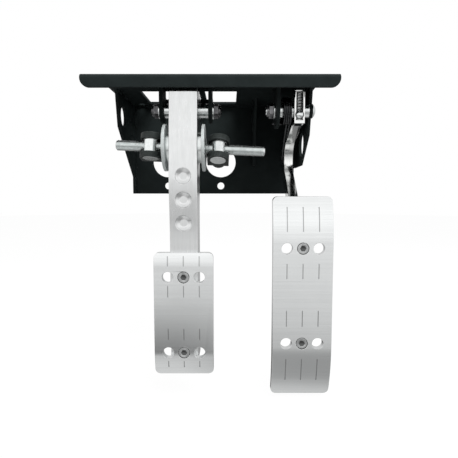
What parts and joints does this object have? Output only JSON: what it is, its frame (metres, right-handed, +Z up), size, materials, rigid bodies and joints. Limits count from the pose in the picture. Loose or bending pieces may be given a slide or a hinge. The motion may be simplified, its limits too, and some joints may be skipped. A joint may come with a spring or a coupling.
{
  "type": "pedal box",
  "caption": "Hanging pedal box: black folded steel bracket with a brake pedal on a balance bar for twin master cylinders, and a sprung throttle pedal.",
  "frame": {"origin": "centre of the four mounting holes, on the top face of the top plate", "axes": "+Z up, out of the top face; +X to the driver's right; +Y towards the bulkhead"},
  "size_m": [0.237, 0.1345, 0.3],
  "materials": {
    "bracket_black": "black satin powder coat",
    "arm_alloy": "fine brushed",
    "pad_alloy": "brushed across, engraved grooves",
    "zinc_steel": "bright zinc plate",
    "dark_steel": "dark plated steel",
    "phosphate_steel": "dark phosphate",
    "bronze": "oiled bronze"
  },
  "bodies": {
    "frame": {"top_plate": "bracket_black", "rear_wall": "bracket_black", "left_gusset": "bracket_black", "right_gusset": "bracket_black", "centre_rib": "bracket_black", "brake_ear_left": "bracket_black", "brake_ear_right": "bracket_black", "ear_strap": "bracket_black", "throttle_ear": "bracket_black", "brake_stud": "dark_steel", "brake_nuts": "dark_steel", "brake_washers": "zinc_steel", "brake_sleeve": "zinc_steel", "throttle_bolt": "zinc_steel", "throttle_nut": "zinc_steel", "throttle_washer": "zinc_steel", "throttle_sleeve": "zinc_steel", "return_spring": "dark_steel"},
    "brake_pedal": {"brake_arm": "arm_alloy", "brake_bush": "zinc_steel", "balance_tube": "zinc_steel", "tube_discs": "zinc_steel", "bearing_race": "bronze", "brake_pad": "pad_alloy", "brake_pad_screws": "dark_steel"},
    "bias_ball": {"bearing_ball": "dark_steel"},
    "bias_bar": {"balance_bar": "zinc_steel"},
    "left_trunnion": {"trunnion_left": "zinc_steel"},
    "right_trunnion": {"trunnion_right": "zinc_steel"},
    "left_clevis": {"clevis_left": "phosphate_steel"},
    "right_clevis": {"clevis_right": "phosphate_steel"},
    "throttle_pedal": {"throttle_arm": "arm_alloy", "throttle_bush": "zinc_steel", "throttle_pad": "pad_alloy", "throttle_pad_screws": "dark_steel", "cable_nipple": "zinc_steel", "cable_spring": "zinc_steel"}
  },
  "joints": [
    {"name": "brake_pivot", "type": "hinge", "parent": "frame", "child": "brake_pedal", "pos_m": [-0.025, -0.028, -0.027], "axis": [1, 0, 0], "range_deg": [0, 18]},
    {"name": "bias_swing", "type": "hinge", "parent": "brake_pedal", "child": "bias_ball", "pos_m": [-0.025, -0.047, -0.0652], "axis": [0, 0, 1], "range_deg": [-8, 8]},
    {"name": "bias_bar_spin", "type": "hinge", "parent": "bias_ball", "child": "bias_bar", "pos_m": [-0.025, -0.047, -0.0652], "axis": [0.9991, 0, -0.0419], "continuous": true},
    {"name": "left_trunnion_swing", "type": "hinge", "parent": "bias_ball", "child": "left_trunnion", "pos_m": [-0.05697, -0.047, -0.06386], "axis": [0.9991, 0, -0.0419], "range_deg": [-19, 27]},
    {"name": "left_clevis_swivel", "type": "hinge", "parent": "left_trunnion", "child": "left_clevis", "pos_m": [-0.05697, -0.047, -0.06386], "axis": [0.0414, 0.1564, 0.9868], "range_deg": [-9, 9]},
    {"name": "right_trunnion_swing", "type": "hinge", "parent": "bias_ball", "child": "right_trunnion", "pos_m": [0.00697, -0.047, -0.06654], "axis": [0.9991, 0, -0.0419], "range_deg": [-7, 39]},
    {"name": "right_clevis_swivel", "type": "hinge", "parent": "right_trunnion", "child": "right_clevis", "pos_m": [0.00697, -0.047, -0.06654], "axis": [0.0391, 0.3584, 0.9328], "range_deg": [-9, 9]},
    {"name": "throttle_pivot", "type": "hinge", "parent": "frame", "child": "throttle_pedal", "pos_m": [0.0845, -0.028, -0.027], "axis": [1, 0, 0], "range_deg": [0, 14], "stiffness_Nm_per_rad": 2, "springref_deg": -45.84, "deforming": ["return_spring"]}
  ],
  "couplings": [
    {"joint": "left_clevis_swivel", "follows": "bias_swing", "ratio": -1},
    {"joint": "right_clevis_swivel", "follows": "bias_swing", "ratio": -1}
  ]
}
